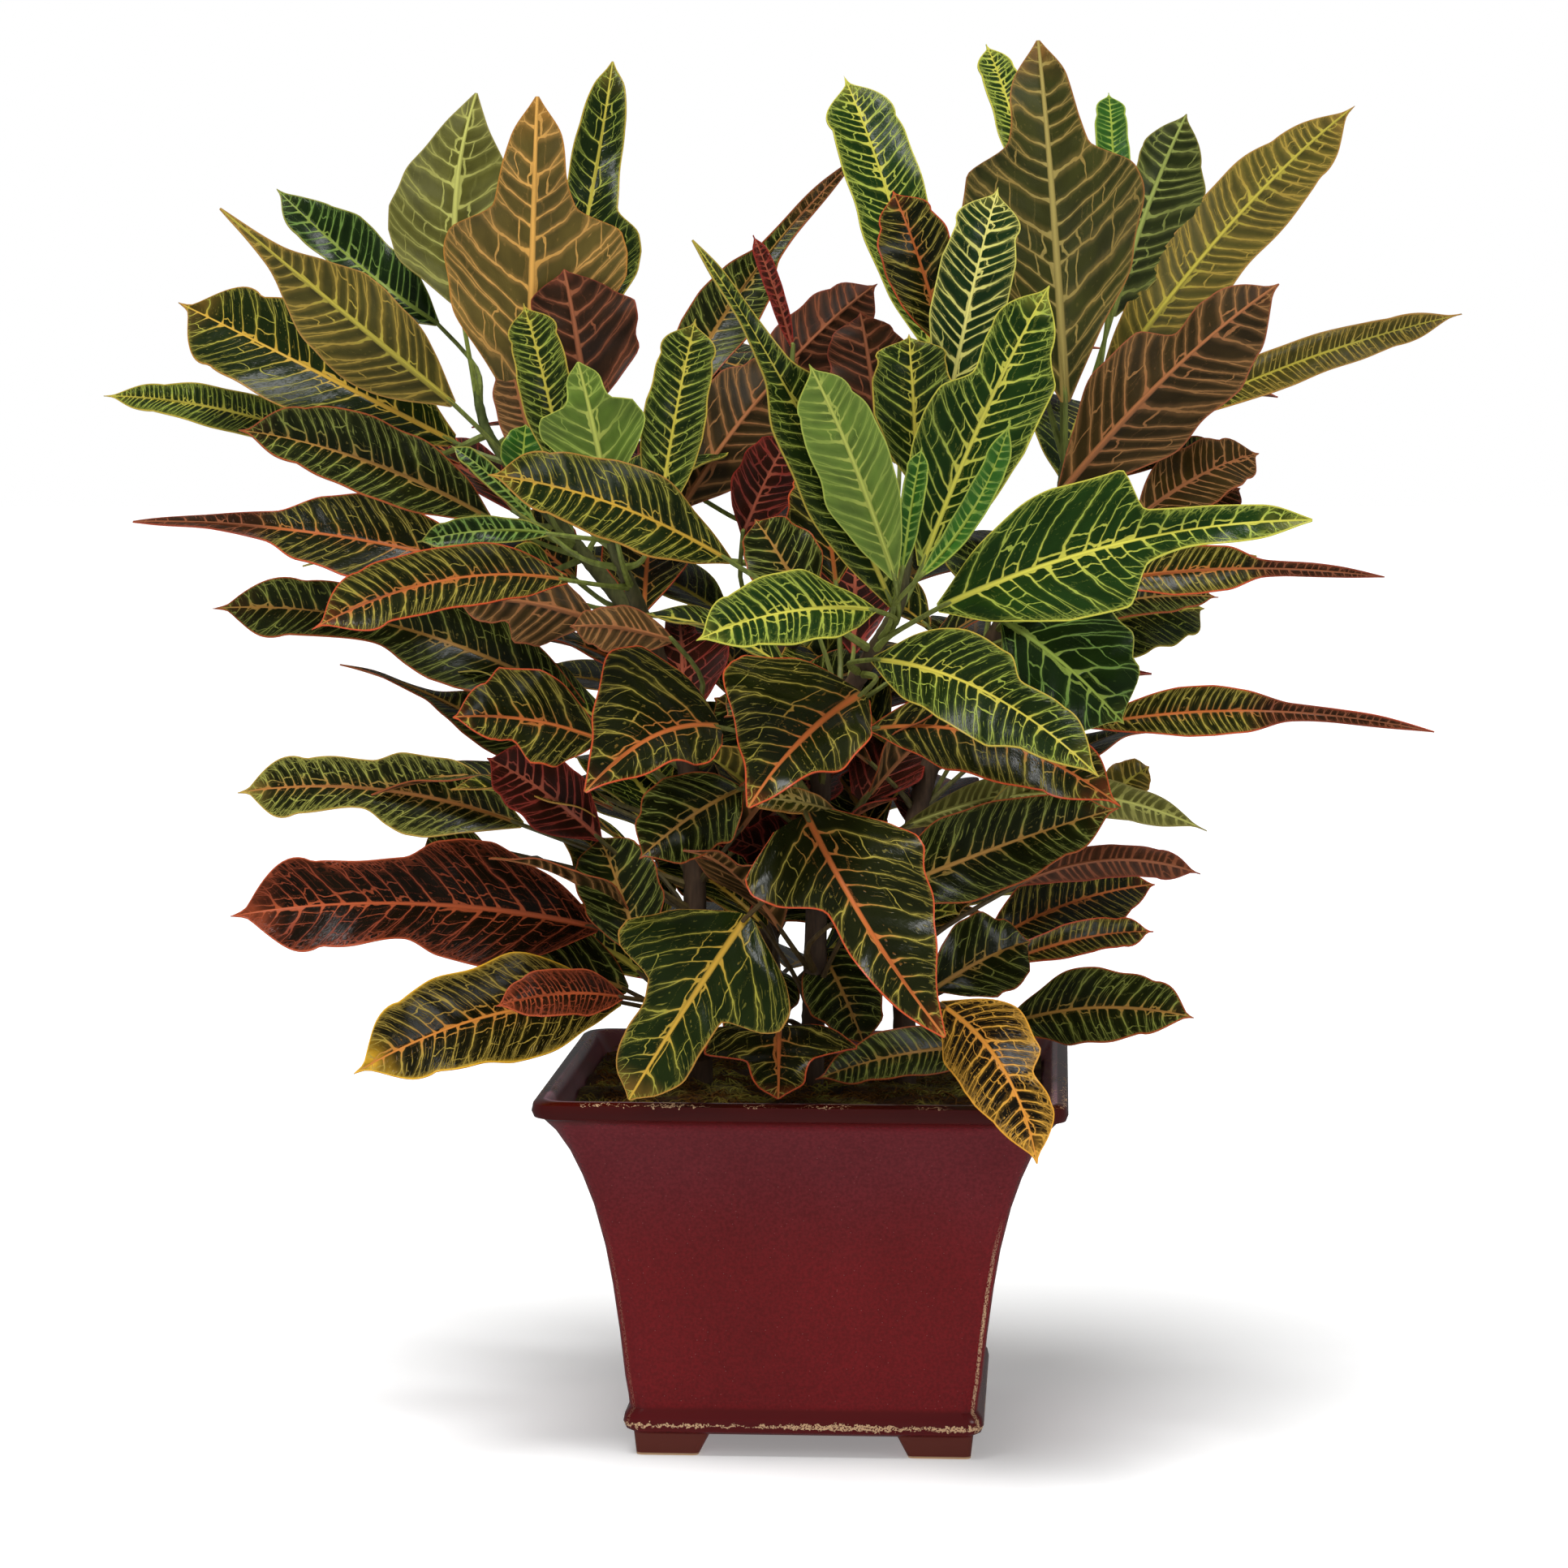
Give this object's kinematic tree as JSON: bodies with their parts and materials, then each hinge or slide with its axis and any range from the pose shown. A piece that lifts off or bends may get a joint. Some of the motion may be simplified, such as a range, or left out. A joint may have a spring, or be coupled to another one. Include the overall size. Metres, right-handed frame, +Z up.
{
  "type": "potted croton",
  "caption": "Bushy croton with lobed, vein-patterned leaves growing from soil and moss in a square, flared planter of glazed ceramic on bracket feet.",
  "frame": {"origin": "centre of the whole part's bounding box in plan, on the surface that the planter's feet stand on", "axes": "+Z up, +X to the right and -Y towards the front, square to the planter's sides"},
  "size_m": [0.7078, 0.4392, 0.6901],
  "materials": {
    "glaze": "gloss",
    "soil": "matte",
    "moss": "matte",
    "foliage": "satin"
  },
  "bodies": {
    "root": {"pot": "glaze", "soil": "soil", "moss": "moss", "croton_left": "foliage", "croton_centre": "foliage", "croton_right": "foliage", "croton_back": "foliage"}
  },
  "joints": []
}
